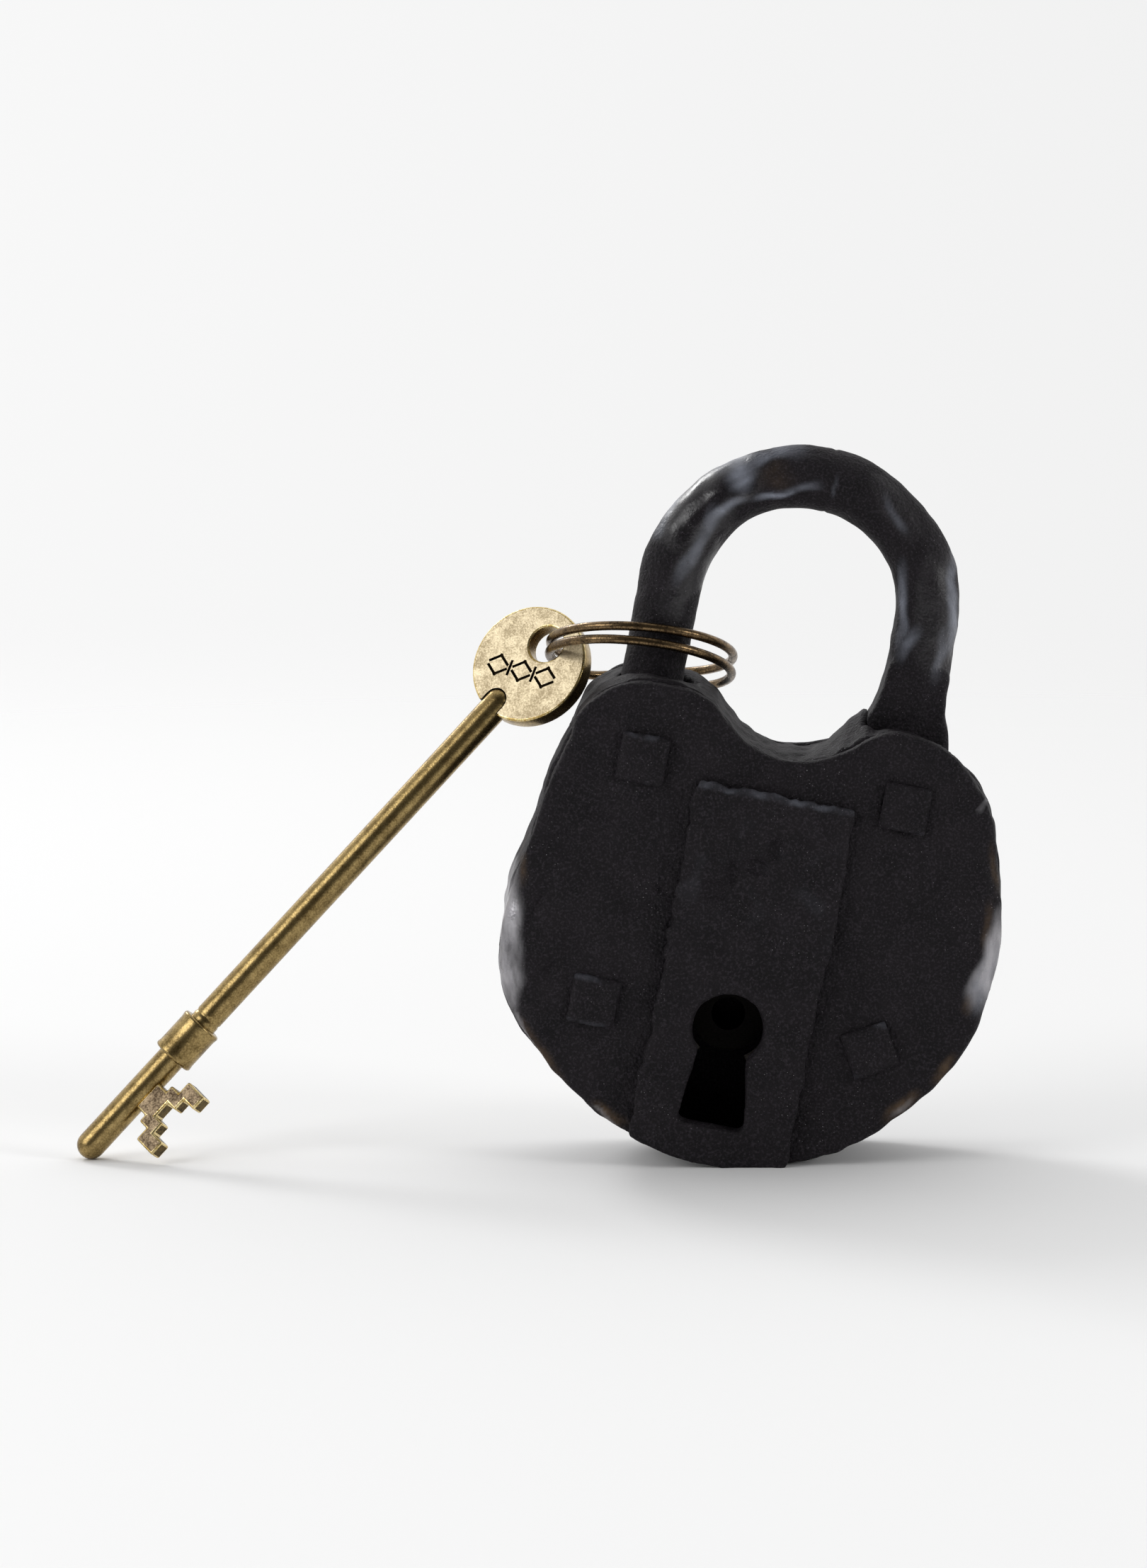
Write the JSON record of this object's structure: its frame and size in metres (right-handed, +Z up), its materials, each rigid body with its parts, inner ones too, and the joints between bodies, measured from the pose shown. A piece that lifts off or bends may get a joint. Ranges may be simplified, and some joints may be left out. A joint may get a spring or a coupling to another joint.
{
  "type": "padlock",
  "caption": "Warded padlock with a heart-topped round case, hinged round shackle, raised keyhole strap, and a long brass key on a split ring.",
  "frame": {"origin": "middle of the flat foot under the round case, half way through its depth", "axes": "+Z up, the front with the keyhole faces -Y, +X to the right seen from the front, where the case leans"},
  "size_m": [0.1438, 0.0341, 0.1105],
  "materials": {
    "black_iron": "matt black blacked iron, worn glossy at the edges",
    "inner_steel": "plain steel with light oil",
    "bolt_brass": "sawn brass plate",
    "antique_brass": "antiqued brass, dark in the hollows and rubbed bright on the edges"
  },
  "bodies": {
    "case": {"front_plate": "black_iron", "back_plate": "black_iron", "case_rim": "black_iron", "keyhole_strap": "black_iron", "rivet_top_left": "black_iron", "rivet_bottom_left": "black_iron", "rivet_bottom_right": "black_iron", "shackle_pivot_pin": "black_iron", "heel_spacer_front": "inner_steel", "heel_spacer_back": "inner_steel", "bolt_stud_upper": "inner_steel", "bolt_stud_lower": "inner_steel", "bolt_spring": "inner_steel", "spring_post": "inner_steel", "key_bearing": "inner_steel", "ward_left": "inner_steel", "ward_right": "inner_steel"},
    "shackle": {"shackle": "black_iron", "shackle_toe": "black_iron"},
    "locking_bolt": {"locking_bolt": "bolt_brass"},
    "split_ring": {"split_ring": "antique_brass"},
    "key": {"key_shank": "antique_brass", "key_collar": "antique_brass", "key_bit": "antique_brass", "key_bow": "antique_brass"}
  },
  "joints": [
    {"name": "shackle_open", "type": "hinge", "parent": "case", "child": "shackle", "pos_m": [0.0232, 0, 0.0557], "axis": [0, 1, 0], "range_deg": [0, 60]},
    {"name": "bolt_throw", "type": "slide", "parent": "case", "child": "locking_bolt", "axis": [-0.9806, 0, 0.1959], "range_m": [0, 0.0046]},
    {"name": "ring_tilt", "type": "hinge", "parent": "shackle", "child": "split_ring", "pos_m": [-0.01697, -0.0071, 0.08228], "axis": [0.9945, 0, -0.1045], "range_deg": [0, 40]},
    {"name": "key_swing", "type": "hinge", "parent": "split_ring", "child": "key", "pos_m": [-0.03167, 0.0062, 0.07869], "axis": [-0.0375, 0.9336, -0.3564], "range_deg": [0, 60]}
  ]
}
